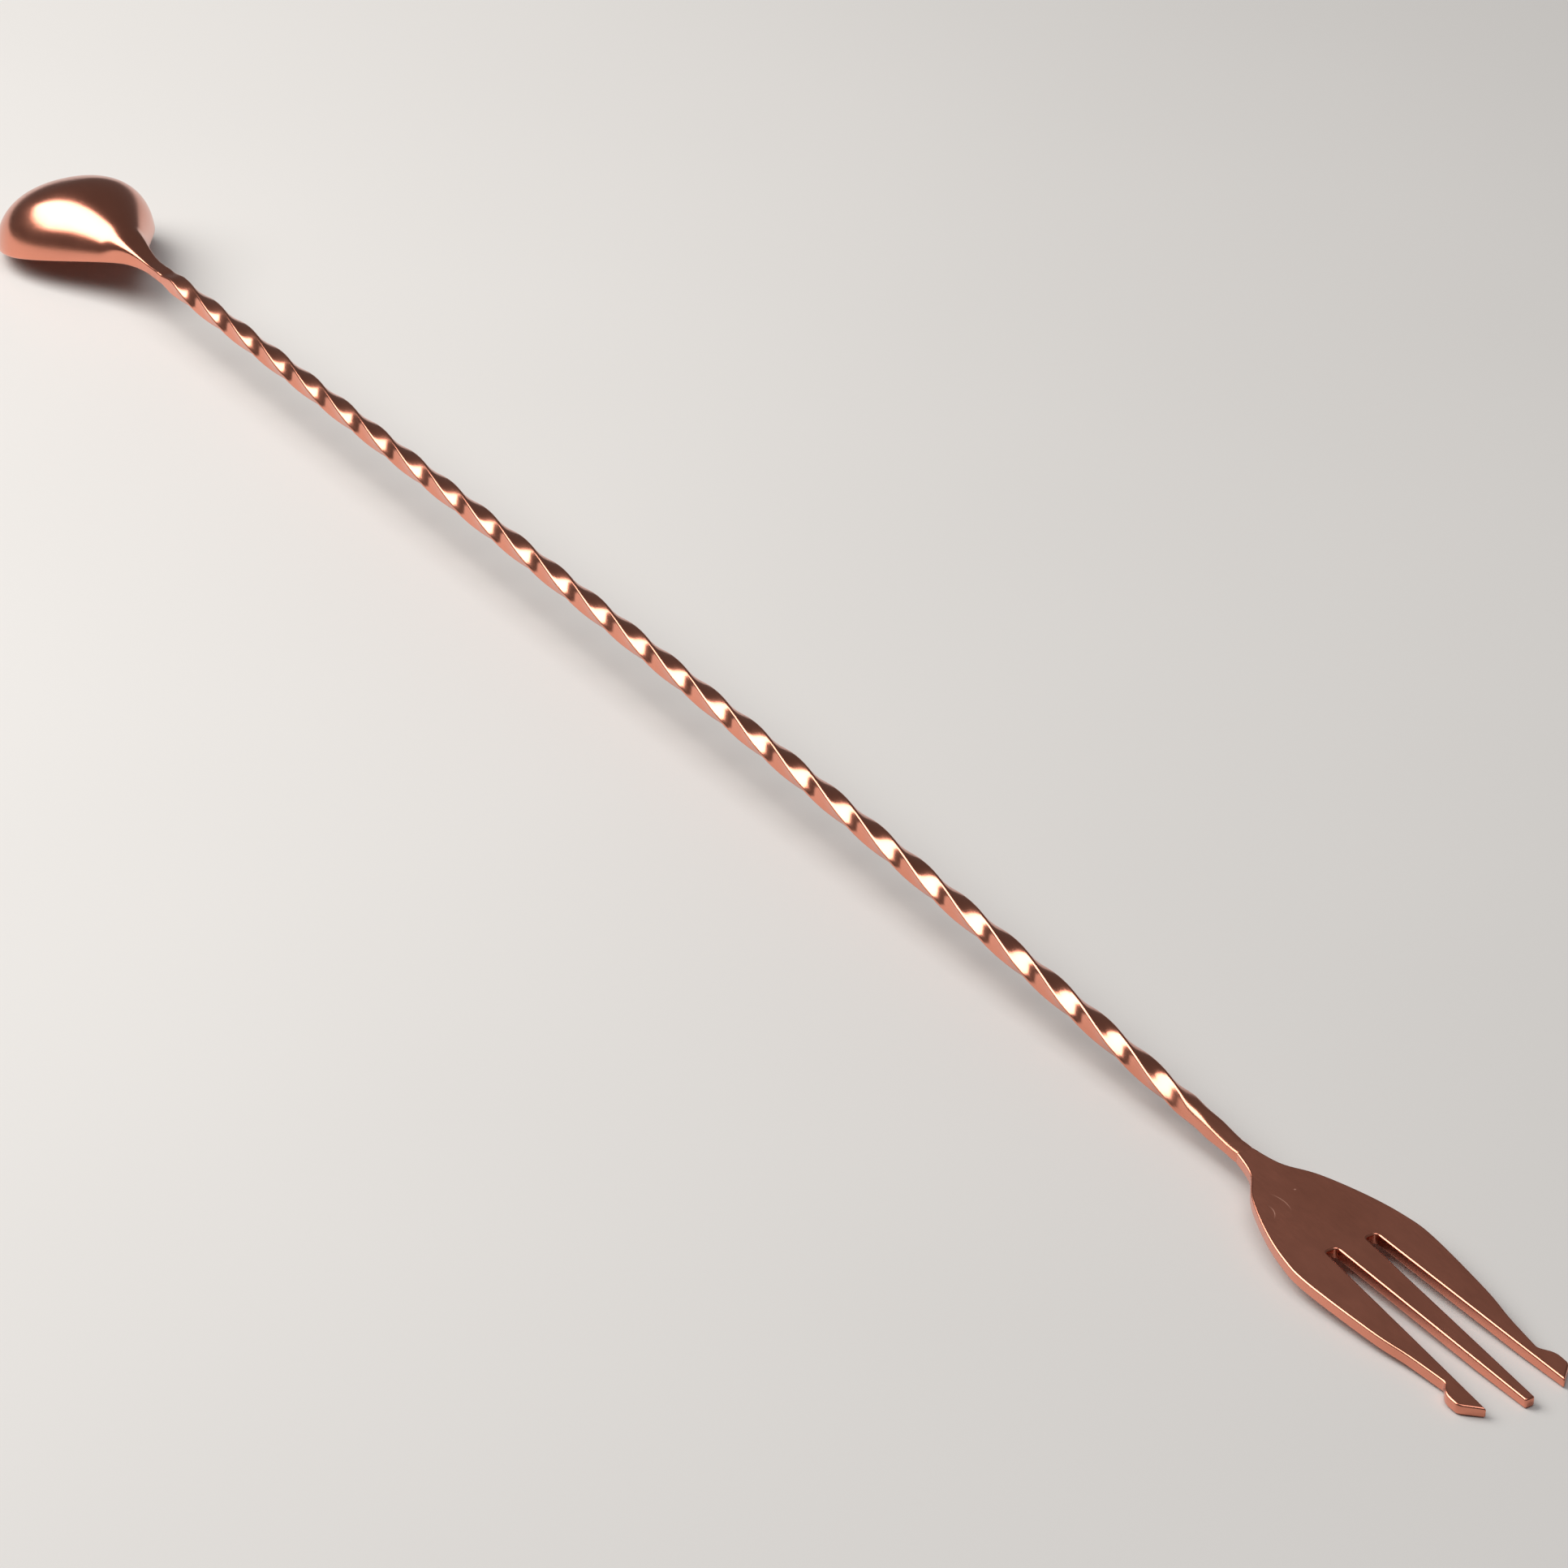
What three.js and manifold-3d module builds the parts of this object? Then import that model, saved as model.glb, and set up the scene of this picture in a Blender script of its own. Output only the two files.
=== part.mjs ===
// Twisted bar spoon with a fork end: a stamped fork and a stamped bowl, each butt-welded to a twisted
// square rod. Millimetres. +X runs from the bowl to the fork, +Z is up, and the spoon lies on z = 0 with its
// bowl face down. The origin is the middle of the length, on the surface that the spoon lies on.
import * as THREE from "three";
import { mergeVertices } from "three/addons/utils/BufferGeometryUtils.js";
import Module from "manifold-3d";

// Overall
const LENGTH = 400;
const JOINT_GAP = 0.3;

// Fork plate: it slopes down to its tips, which touch the surface below. Its underside is thinned there.
const PLATE_THICKNESS = 1.65;
const TIP_THICKNESS = 1.38;
const THINNING_LENGTH = 9;
const PLATE_SLOPE = THREE.MathUtils.degToRad(3.1);
const FORK_LENGTH = 58.6;
const FORK_NECK_HALF = 1.25;

// Each side of the palm from near the neck to the notch: distance back from the tips, and half-width.
const PALM_SIDE = [
  [54, 2.4],
  [49.7, 5.2],
  [43.2, 7.8],
  [37.3, 9.3],
  [31.9, 9.7],
  [20, 8.7],
  [14, 7.7],
  [8, 7],
];

// Half-arrow barb of the outer prongs: a flat shoulder, then a slanted cut to the point.
const BARB_SIDE = 8.35;
const BARB_SHOULDER = 4.8;
const BARB_CORNER = 3.3;
const BARB_CORNER_ROUND = 0.5;
const POINT_BACK = 0.9;
const POINT_SIDE = 5.8;

// Slots and centre prong
const SLOT_ROOT = 36;
const SLOT_ROOT_CORNER = 0.6;
const SLOT_ROOT_OUTSIDE = 3.9;
const PRONG_ROOT_HALF = 2.15;
const PRONG_TIP_HALF = 0.7;
const OUTLINE_STEPS = 5;
const CUTTER_MARGIN = 1;

// Rod: square with rounded corners, twisted right-handed between two plain ends that are forged flat.
const ROD_SIDE = 2.6;
const ROD_CORNER = 0.35;
const TWIST_FORK_END = 131.4;
const QUARTER_TURN_LENGTH = 10.8;
const QUARTER_TURNS = 26;
const RINGS_PER_QUARTER_TURN = 8;
const FORGED_WIDTH = 2.5;
const FORGED_THICKNESS = 1.65;

// Heights of the rod's centreline, as a cubic Bezier from the fork end to the bowl end.
const ROD_HEIGHTS = [3.72, 10.53, 10.13, 8.93];

// Welds: short beads a little larger than the necks that they join.
const WELD_LENGTH = 1;
const WELD_PROUD = 0.12;

// Bowl: its rim falls to the tip at one slope, and its neck bends from there to the rod's own slope.
// Lengths run along the rim from the root of the bowl to the tip, and depth is up from the rim, square to it.
const BOWL_SLOPE = THREE.MathUtils.degToRad(11.9);
const NECK_SLOPE = THREE.MathUtils.degToRad(1.2);
const BEND_ENDS_AT = 12;
const BOWL_LENGTH = 43.7;
const BOWL_NECK_LENGTH = 2;
const BOWL_NECK_HALF = 1.25;
const BOWL_NECK_DEPTH = 1.65;
const BOWL_HALF_WIDTH = 12.8;
const BOWL_WIDEST_AT = 29.7;
const BOWL_WIDENING = 1.15;
const BOWL_DEPTH = 10.7;
const BOWL_DEEPEST_AT = 26;
const BOWL_SECTION_POWER = 2.2;
const NECK_SECTION_POWER = 8;
const NECK_BLEND_LENGTH = 12;
const SHEET = 1.5;
const HOLLOW_STARTS_AT = 6;
const SHORT_OF_TIP = 0.02;
const BOWL_RINGS = 26;
const BOWL_ARC_STEPS = 20;

// Places that follow from the dimensions above
const FORK_TIP_X = LENGTH / 2 - PLATE_THICKNESS * Math.sin(PLATE_SLOPE);
const FORK_NECK_X = FORK_TIP_X - FORK_LENGTH * Math.cos(PLATE_SLOPE);
const PLATE_DROP = (PLATE_THICKNESS - TIP_THICKNESS) * Math.cos(PLATE_SLOPE);
const FORK_NECK_Z = FORK_LENGTH * Math.sin(PLATE_SLOPE) + PLATE_THICKNESS / 2 - PLATE_DROP;
const BOWL_TIP_REACH = Math.hypot(
  (BOWL_LENGTH - BOWL_DEEPEST_AT) * Math.cos(BOWL_SLOPE),
  BOWL_DEPTH * Math.sin(BOWL_SLOPE),
);
const BOWL_DEEPEST_X = BOWL_TIP_REACH - LENGTH / 2;
const BOWL_NECK = bowlPoint(-BOWL_NECK_LENGTH, 0, BOWL_NECK_DEPTH / 2);
const ROD_FORK_END = FORK_NECK_X - WELD_LENGTH - 2 * JOINT_GAP;
const ROD_BOWL_END = BOWL_NECK.x + WELD_LENGTH + 2 * JOINT_GAP;

const wasm = await Module();
wasm.setup();

function satinCopper() {
  return new THREE.MeshStandardMaterial({ color: 0xb4694c, roughness: 0.32, metalness: 1 });
}

function polishedCopper() {
  return new THREE.MeshStandardMaterial({ color: 0xc4775a, roughness: 0.18, metalness: 1 });
}

function weldedCopper() {
  return new THREE.MeshStandardMaterial({ color: 0xa8603f, roughness: 0.4, metalness: 1 });
}

function namedMesh(name, geometry, material) {
  const mesh = new THREE.Mesh(geometry, material);
  mesh.name = name;
  return mesh;
}

// A closed solid through rings of equal count. Seen from past the last ring, their points turn anticlockwise.
function loft(rings) {
  const count = rings[0].length;
  const last = (rings.length - 1) * count;
  const indices = [];
  for (let start = 0; start < last; start += count) {
    for (let corner = 0; corner < count; corner += 1) {
      const here = start + corner;
      const beside = start + ((corner + 1) % count);
      indices.push(here, beside, beside + count, here, beside + count, here + count);
    }
  }
  for (let corner = 1; corner < count - 1; corner += 1) {
    indices.push(0, corner + 1, corner, last, last + corner, last + corner + 1);
  }
  const geometry = new THREE.BufferGeometry();
  geometry.setFromPoints(rings.flat());
  geometry.setIndex(indices);
  geometry.computeVertexNormals();
  return geometry;
}

function solidOf(geometry) {
  const bare = geometry.clone();
  bare.deleteAttribute("normal");
  bare.deleteAttribute("uv");
  const merged = mergeVertices(bare);
  const vertProperties = new Float32Array(merged.attributes.position.array);
  const triVerts = new Uint32Array(merged.index.array);
  return new wasm.Manifold(new wasm.Mesh({ numProp: 3, vertProperties, triVerts }));
}

function geometryOf(solid) {
  const result = solid.getMesh();
  const geometry = new THREE.BufferGeometry();
  geometry.setAttribute("position", new THREE.BufferAttribute(result.vertProperties, 3));
  geometry.setIndex(new THREE.BufferAttribute(result.triVerts, 1));
  geometry.computeVertexNormals();
  return geometry;
}

// Half of the fork's outline, from the neck to the centre prong's tip. x runs back from the tips.
function halfOutline() {
  const half = new THREE.Path();
  half.moveTo(FORK_LENGTH, FORK_NECK_HALF);
  half.splineThru(PALM_SIDE.map(([back, side]) => new THREE.Vector2(back, side)));
  half.bezierCurveTo(7, 7, 6.6, BARB_SIDE, BARB_SHOULDER, BARB_SIDE);
  half.lineTo(BARB_CORNER + BARB_CORNER_ROUND, BARB_SIDE);
  const roundEnd = [BARB_CORNER - BARB_CORNER_ROUND, BARB_SIDE - BARB_CORNER_ROUND];
  half.quadraticCurveTo(BARB_CORNER, BARB_SIDE, ...roundEnd);
  half.lineTo(POINT_BACK, POINT_SIDE);
  half.lineTo(SLOT_ROOT - SLOT_ROOT_CORNER, SLOT_ROOT_OUTSIDE);
  half.quadraticCurveTo(SLOT_ROOT, SLOT_ROOT_OUTSIDE, SLOT_ROOT, SLOT_ROOT_OUTSIDE - SLOT_ROOT_CORNER);
  half.lineTo(SLOT_ROOT, PRONG_ROOT_HALF + SLOT_ROOT_CORNER);
  half.quadraticCurveTo(SLOT_ROOT, PRONG_ROOT_HALF, SLOT_ROOT - SLOT_ROOT_CORNER, PRONG_ROOT_HALF);
  half.lineTo(0, PRONG_TIP_HALF);
  return half.getPoints(OUTLINE_STEPS);
}

// A prism under the tips: its upper face is the thinned underside, and it overhangs the plate elsewhere.
function thinningCutter() {
  const rise = (PLATE_THICKNESS - TIP_THICKNESS) / THINNING_LENGTH;
  const profile = new THREE.Shape([
    new THREE.Vector2(THINNING_LENGTH, 0),
    new THREE.Vector2(-CUTTER_MARGIN, rise * (THINNING_LENGTH + CUTTER_MARGIN)),
    new THREE.Vector2(-CUTTER_MARGIN, -CUTTER_MARGIN),
    new THREE.Vector2(THINNING_LENGTH, -CUTTER_MARGIN),
  ]);
  const reach = BARB_SIDE + CUTTER_MARGIN;
  const geometry = new THREE.ExtrudeGeometry(profile, { depth: 2 * reach, bevelEnabled: false });
  geometry.rotateX(Math.PI / 2);
  geometry.translate(0, reach, 0);
  return geometry;
}

function forkHead() {
  const half = halfOutline();
  const otherHalf = half.map((point) => new THREE.Vector2(point.x, -point.y)).reverse();
  const outline = new THREE.Shape([...half, ...otherHalf]);
  const plate = new THREE.ExtrudeGeometry(outline, { depth: PLATE_THICKNESS, bevelEnabled: false });
  const thinned = solidOf(plate).subtract(solidOf(thinningCutter()));
  const head = namedMesh("fork_head", geometryOf(thinned), satinCopper());
  head.rotation.z = Math.PI;
  const slope = new THREE.Group();
  slope.rotation.y = PLATE_SLOPE;
  slope.position.set(FORK_TIP_X, 0, -PLATE_DROP);
  slope.add(head);
  return slope;
}

// A rounded rectangle across the spoon at x and height z, turned about its own centre.
function barRing(x, z, width, thickness, turn) {
  const ring = [];
  for (let corner = 0; corner < 4; corner += 1) {
    const sideY = corner === 0 || corner === 3 ? 1 : -1;
    const sideZ = corner < 2 ? 1 : -1;
    for (const step of [0, 1]) {
      const angle = ((corner + step) * Math.PI) / 2;
      const y = sideY * (width / 2 - ROD_CORNER) + ROD_CORNER * Math.cos(angle);
      const up = sideZ * (thickness / 2 - ROD_CORNER) + ROD_CORNER * Math.sin(angle);
      const turnedY = y * Math.cos(turn) - up * Math.sin(turn);
      const turnedUp = y * Math.sin(turn) + up * Math.cos(turn);
      ring.push(new THREE.Vector3(x, turnedY, z + turnedUp));
    }
  }
  return ring;
}

function rodHeight(x) {
  const controls = ROD_HEIGHTS.map((height) => new THREE.Vector3(0, 0, height));
  const heights = new THREE.CubicBezierCurve3(...controls);
  return heights.getPoint((ROD_FORK_END - x) / (ROD_FORK_END - ROD_BOWL_END)).z;
}

function twistedStem() {
  const twistBowlEnd = TWIST_FORK_END - QUARTER_TURNS * QUARTER_TURN_LENGTH;
  const lastTurn = (QUARTER_TURNS * Math.PI) / 2;
  const rings = [barRing(ROD_BOWL_END, rodHeight(ROD_BOWL_END), FORGED_WIDTH, FORGED_THICKNESS, 0)];
  const steps = QUARTER_TURNS * RINGS_PER_QUARTER_TURN;
  for (let step = 0; step <= steps; step += 1) {
    const x = THREE.MathUtils.lerp(twistBowlEnd, TWIST_FORK_END, step / steps);
    rings.push(barRing(x, rodHeight(x), ROD_SIDE, ROD_SIDE, (step / steps) * lastTurn));
  }
  rings.push(barRing(ROD_FORK_END, rodHeight(ROD_FORK_END), FORGED_WIDTH, FORGED_THICKNESS, lastTurn));
  return namedMesh("twisted_stem", loft(rings), polishedCopper());
}

// A dressed bead between two necks: its middle stands a little proud of its ends.
function weld(name, lowX, z) {
  const rings = [0, 0.25, 0.75, 1].map((along) => {
    const proud = along === 0 || along === 1 ? 0 : 2 * WELD_PROUD;
    return barRing(lowX + along * WELD_LENGTH, z, FORGED_WIDTH + proud, FORGED_THICKNESS + proud, 0);
  });
  return namedMesh(name, loft(rings), weldedCopper());
}

// A point of the bowl, from its place along the rim, to one side and up from the rim. Through the neck the
// slope eases from the rod's to the rim's as a smooth step, whose integral gives the height.
function bowlPoint(along, side, up) {
  const bend = BEND_ENDS_AT + BOWL_NECK_LENGTH;
  const eased = THREE.MathUtils.clamp((along + BOWL_NECK_LENGTH) / bend, 0, 1);
  const steepening = Math.tan(BOWL_SLOPE) - Math.tan(NECK_SLOPE);
  const slope = Math.atan(Math.tan(NECK_SLOPE) + steepening * THREE.MathUtils.smoothstep(eased, 0, 1));
  const lifted = steepening * bend * (0.5 - eased ** 3 + eased ** 4 / 2);
  const short = Math.max(BEND_ENDS_AT - along, 0);
  const fall = (BOWL_LENGTH - along - short) * Math.sin(BOWL_SLOPE);
  const bent = Math.cos(BOWL_SLOPE) * (short * Math.tan(NECK_SLOPE) + lifted);
  const x = BOWL_DEEPEST_X + (BOWL_DEEPEST_AT - along) * Math.cos(BOWL_SLOPE);
  return new THREE.Vector3(x - up * Math.sin(slope), side, fall + bent + up * Math.cos(slope));
}

// Grows smoothly from the neck's size to the full size, then rounds off to the tip as a quarter ellipse.
function bowlSize(along, neckSize, fullSize, fullAt, tipAt, power) {
  if (along < fullAt) {
    const grown = THREE.MathUtils.smoothstep(Math.max(along / fullAt, 0) ** power, 0, 1);
    return THREE.MathUtils.lerp(neckSize, fullSize, grown);
  }
  return fullSize * Math.sqrt(1 - ((along - fullAt) / (tipAt - fullAt)) ** 2);
}

// An arch across the bowl, inset from the outer surface. Its two feet stand footDrop below the rim's plane.
function bowlRing(along, inset, footDrop) {
  const tipAt = BOWL_LENGTH - inset;
  const half = bowlSize(along, BOWL_NECK_HALF, BOWL_HALF_WIDTH, BOWL_WIDEST_AT, tipAt, BOWL_WIDENING);
  const depth = bowlSize(along, BOWL_NECK_DEPTH, BOWL_DEPTH, BOWL_DEEPEST_AT, tipAt, 1);
  const shrink = along > BOWL_WIDEST_AT ? (BOWL_HALF_WIDTH - inset) / BOWL_HALF_WIDTH : 1 - inset / half;
  const sink = along > BOWL_DEEPEST_AT ? (BOWL_DEPTH - inset) / BOWL_DEPTH : 1 - inset / depth;
  const blend = THREE.MathUtils.smoothstep(along, 0, NECK_BLEND_LENGTH);
  const power = 2 / THREE.MathUtils.lerp(NECK_SECTION_POWER, BOWL_SECTION_POWER, blend);
  const ring = [];
  for (let step = BOWL_ARC_STEPS; step >= 0; step -= 1) {
    const angle = (Math.PI * step) / BOWL_ARC_STEPS;
    const y = half * shrink * Math.sign(Math.cos(angle)) * Math.abs(Math.cos(angle)) ** power;
    const isFoot = step === 0 || step === BOWL_ARC_STEPS;
    const z = isFoot ? -footDrop : depth * sink * Math.sin(angle) ** power;
    ring.push(bowlPoint(along, y, z));
  }
  return ring;
}

// Rings that crowd together towards the tip.
function bowlRings(start, inset, footDrop) {
  const span = BOWL_LENGTH - inset - SHORT_OF_TIP - start;
  const rings = [];
  for (let ring = 0; ring <= BOWL_RINGS; ring += 1) {
    const along = start + span * Math.sin((Math.PI / 2) * (ring / BOWL_RINGS));
    rings.push(bowlRing(along, inset, footDrop));
  }
  return rings;
}

function spoonBowl() {
  const outside = [bowlRing(-BOWL_NECK_LENGTH, 0, 0), ...bowlRings(0, 0, 0)];
  const hollow = bowlRings(HOLLOW_STARTS_AT, SHEET, SHEET);
  const shell = solidOf(loft(outside)).subtract(solidOf(loft(hollow)));
  return namedMesh("spoon_bowl", geometryOf(shell), polishedCopper());
}

const spoon = new THREE.Group();
spoon.add(
  forkHead(),
  weld("fork_weld", ROD_FORK_END + JOINT_GAP, FORK_NECK_Z),
  twistedStem(),
  weld("bowl_weld", BOWL_NECK.x + JOINT_GAP, BOWL_NECK.z),
  spoonBowl(),
);

export default spoon;
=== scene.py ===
"""Twisted bar spoon with a fork end, in copper plate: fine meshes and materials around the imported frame.

Lengths are in millimetres and become metres where a mesh is made. +X runs from the bowl to the fork, +Z is
up, and the spoon lies on z = 0 with its bowl face down.
"""
import math

import bmesh
import bpy
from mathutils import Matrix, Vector, noise


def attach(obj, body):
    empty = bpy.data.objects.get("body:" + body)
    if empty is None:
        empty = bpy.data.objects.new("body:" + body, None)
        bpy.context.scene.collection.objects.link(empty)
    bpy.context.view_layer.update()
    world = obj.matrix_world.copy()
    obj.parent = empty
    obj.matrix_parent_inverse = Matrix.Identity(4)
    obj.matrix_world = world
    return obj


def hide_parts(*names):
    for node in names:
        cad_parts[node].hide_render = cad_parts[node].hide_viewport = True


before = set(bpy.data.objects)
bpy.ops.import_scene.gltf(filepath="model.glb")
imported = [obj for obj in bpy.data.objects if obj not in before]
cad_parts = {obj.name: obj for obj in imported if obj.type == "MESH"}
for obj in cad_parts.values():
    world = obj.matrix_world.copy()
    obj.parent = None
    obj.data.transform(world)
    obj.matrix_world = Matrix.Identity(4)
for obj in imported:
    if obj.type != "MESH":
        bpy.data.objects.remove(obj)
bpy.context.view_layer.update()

MM = 0.001

# Overall
LENGTH = 400
JOINT_GAP = 0.3

# Fork plate: it slopes down to its tips, where its underside is thinned. Lengths run back from the tips.
PLATE_THICKNESS = 1.65
TIP_THICKNESS = 1.38
THINNING_LENGTH = 9
PLATE_SLOPE = math.radians(3.1)
PLATE_EDGE_RADIUS = 0.28
PLATE_EDGE_SEGMENTS = 4
FORK_LENGTH = 58.6
FORK_NECK_HALF = 1.25

# An upright corner of the plate that turns by more than this is rounded, and a face that leans by less than
# this from the plate is flat.
SHARP_CORNER = math.radians(35)
FLAT_FACING = math.cos(math.radians(6))

# Each side of the palm from near the neck to the notch: distance back from the tips, and half-width.
PALM_SIDE = [(54, 2.4), (49.7, 5.2), (43.2, 7.8), (37.3, 9.3), (31.9, 9.7), (20, 8.7), (14, 7.7), (8, 7)]

# Half-arrow barb of the outer prongs, and the controls of the S-curve that leads to it from the notch
BARB_SIDE = 8.35
NOTCH_CONTROLS = [(7, 7), (6.6, BARB_SIDE)]
BARB_SHOULDER = 4.8
BARB_CORNER = 3.3
BARB_CORNER_ROUND = 0.5
POINT_BACK = 0.9
POINT_SIDE = 5.8

# Slots and middle prong
SLOT_ROOT = 36
SLOT_ROOT_CORNER = 0.6
SLOT_ROOT_OUTSIDE = 3.9
PRONG_ROOT_HALF = 2.15
PRONG_TIP_HALF = 0.7

# How finely the fork's outline is divided, on each stretch of its curves
PALM_STEPS = 8
NOTCH_STEPS = 12
CORNER_STEPS = 6

# Rod
ROD_SIDE = 2.6
ROD_CORNER = 0.35
ROD_RINGS = 700
RING_CORNER_POINTS = 5
RING_SIDE_STEPS = 4
TWIST_FORK_END = 131.4
QUARTER_TURN_LENGTH = 10.8
QUARTER_TURNS = 26
TWIST_EASE = 1.5
FORGED_WIDTH = 2.5
FORGED_THICKNESS = 1.65
ROD_HEIGHTS = (3.72, 10.53, 10.13, 8.93)

# The rod's corners are softer where it was hammered flat beside the fork.
SOFTENED_CORNER = 0.85
SOFTENED_AT = 132
SOFTENED_REACH = 4

# Welds: each bead is a little proud in the middle, laps over both necks and sinks into them at its ends.
WELD_LENGTH = 1
WELD_PROUD = 0.03
WELD_LAP = 0.9
WELD_RINGS = 24
SWELL_SCALE = 1.3
SWELL_PART = 0.5

# Bowl: lengths run along the rim from the root of the bowl to the tip, depth is measured up from the rim.
BOWL_SLOPE = math.radians(11.9)
NECK_SLOPE = math.radians(1.2)
BEND_ENDS_AT = 12
BOWL_LENGTH = 43.7
BOWL_NECK_LENGTH = 2
BOWL_NECK_HALF = 1.25
BOWL_NECK_DEPTH = 1.65
BOWL_HALF_WIDTH = 12.8
BOWL_WIDEST_AT = 29.7
BOWL_WIDENING = 1.15
BOWL_DEPTH = 10.7
BOWL_DEEPEST_AT = 26
BOWL_SECTION_POWER = 2.2
NECK_SECTION_POWER = 8
NECK_BLEND_LENGTH = 12
SHEET = 1.5
MOST_WALL_AT_NECK = 0.6
HOLLOW_STARTS_AT = 4
HOLLOW_OPENS_AT = 4.6
HOLLOW_EASE = 10

# The rim's two rounded edges, as a part of the wall's thickness there, and the most that the inner one may
# take of the hollow's depth. Then how finely the bowl is divided, and how its walls' ends are searched for.
RIM_ROUND = 0.43
RIM_INSIDE_LIMIT = 0.45
OUTER_WALL_STEPS = 26
INNER_WALL_STEPS = 22
RIM_STEPS = 5
WALL_SEARCH_START = 0.3
WALL_SEARCH_HALVINGS = 40
NECK_AND_BODY_STEPS = 56
TIP_STEPS = 44

# Wear on the fork: two short arcs about one centre and a few pits on its upper flat, and nicks on its middle
# prong. An arc has a radius, its middle's place and its reach, and a pit or nick has its place and radius.
MARK_CENTRE = (153.25, -7.1, 3.9)
MARK_ARCS = [(4.95, (152.95, -2.2, 3.9), 2.2), (2.75, (154.2, -4.5, 3.9), 1.5)]
MARK_WIDTH = 0.075
MARK_CORE = 0.3
MARK_FADE = 0.7
PITS = [((151.6, 0.5, 4), 0.2), ((163.8, 3.6, 3.4), 0.12), ((193, 7.7, 1.8), 0.13)]
NICKS = [((184.8, -1.57, 2.2), 2.2), ((190.1, -1.3, 1.2), 1.6)]
MARK_ROUGHNESS = 0.15
NICK_FADE = 0.6
NICK_SPAN = (0.56, 0.64)
NICK_DEPTH = 4

# Finish: roughness of the polished pieces, what satin adds to it, and the stretch of x in metres where the
# rod turns satin before the fork. The scales of the noises are per metre on each axis, and TWISTED_GRAIN is
# per unit of the rod's UV map.
FORK_POLISH = 0.22
ROD_POLISH = 0.2
BOWL_POLISH = 0.2
WELD_POLISH = 0.21
SATIN = 0.14
SATIN_FADE = (0.122, 0.138)
BUMP_STRENGTH = 0.2
CLOUD_SCALE = (40, 110, 110)
SMUDGE_SCALE = (180, 300, 300)
SPECKLE_SCALE = (2600, 4200, 4200)
LENGTHWISE_GRAIN = (260, 7000, 7000)
TWISTED_GRAIN = (70, 90, 1)
WELD_GRAIN = (1500, 2500, 2500)
GRAIN_ON_EDGES = 0.15
GRAIN_DEPTH = 0.02
NOISE_SPAN = (0.3, 0.7)
SMUDGE_LEAST = -0.015
SMUDGE_MOST = 0.02
STREAK = 0.02
COPPER_TONES = [(0.3, (0.7, 0.268, 0.178, 1)), (0.7, (0.77, 0.3, 0.205, 1))]
BARE_TONE = (0.9, 0.52, 0.4, 1)

# Floor, in metres, and the light from all round
FLOOR_SIZE = 6
FLOOR_SCALE = (3, 3, 3)
FLOOR_ROUGHNESS = 0.55
FLOOR_TONES = [(0.3, (0.72, 0.71, 0.7, 1)), (0.7, (0.76, 0.75, 0.74, 1))]
WORLD_COLOR = (0.85, 0.82, 0.8, 1)
WORLD_STRENGTH = 0.14

# The camera stands beyond the fork and to one side, and looks back along the spoon and down.
CAMERA_PLACE = Vector((680.4, -402.2, 431.6))
LOOK_LEVEL = Vector((-0.8496, 0.5274, 0))
LOOK_DOWN = math.radians(29.22)
CAMERA_LENS = 145.8

# Places that follow from the dimensions above
FORK_TIP_X = LENGTH / 2 - PLATE_THICKNESS * math.sin(PLATE_SLOPE)
FORK_NECK_X = FORK_TIP_X - FORK_LENGTH * math.cos(PLATE_SLOPE)
PLATE_DROP = (PLATE_THICKNESS - TIP_THICKNESS) * math.cos(PLATE_SLOPE)
FORK_NECK_Z = FORK_LENGTH * math.sin(PLATE_SLOPE) + PLATE_THICKNESS / 2 - PLATE_DROP
BOWL_TIP_REACH = math.hypot(
    (BOWL_LENGTH - BOWL_DEEPEST_AT) * math.cos(BOWL_SLOPE),
    BOWL_DEPTH * math.sin(BOWL_SLOPE),
)
BOWL_DEEPEST_X = BOWL_TIP_REACH - LENGTH / 2


def smooth(value):
    value = min(max(value, 0), 1)
    return value * value * (3 - 2 * value)


def lerp(start, end, part):
    return start + (end - start) * part


def make_object(name, bm):
    """Turns a mesh in millimetres into an object in metres, with smooth shading."""
    bmesh.ops.recalc_face_normals(bm, faces=bm.faces)
    bmesh.ops.scale(bm, vec=(MM, MM, MM), verts=bm.verts)
    mesh = bpy.data.meshes.new(name)
    bm.to_mesh(mesh)
    bm.free()
    mesh.shade_smooth()
    piece = bpy.data.objects.new(name, mesh)
    bpy.context.scene.collection.objects.link(piece)
    return piece


def grid_faces(bm, columns):
    """Joins neighbouring columns of vertices with quads."""
    for left, right in zip(columns, columns[1:]):
        for low in range(len(left) - 1):
            bm.faces.new((left[low], right[low], right[low + 1], left[low + 1]))


# ---- Fork ----------------------------------------------------------------------------------------


def catmull_rom(points, steps):
    """Points along a smooth curve through the given points, without the first one."""
    result = []
    last = len(points) - 1
    for index in range(last):
        p0 = points[max(index - 1, 0)]
        p1 = points[index]
        p2 = points[index + 1]
        p3 = points[min(index + 2, last)]
        for step in range(1, steps + 1):
            t = step / steps
            result.append(tuple(catmull_rom_value(*values, t) for values in zip(p0, p1, p2, p3)))
    return result


def catmull_rom_value(a, b, c, d, t):
    tangent_in = (c - a) / 2
    tangent_out = (d - b) / 2
    cubic = 2 * b - 2 * c + tangent_in + tangent_out
    square = -3 * b + 3 * c - 2 * tangent_in - tangent_out
    return cubic * t**3 + square * t**2 + tangent_in * t + b


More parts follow.
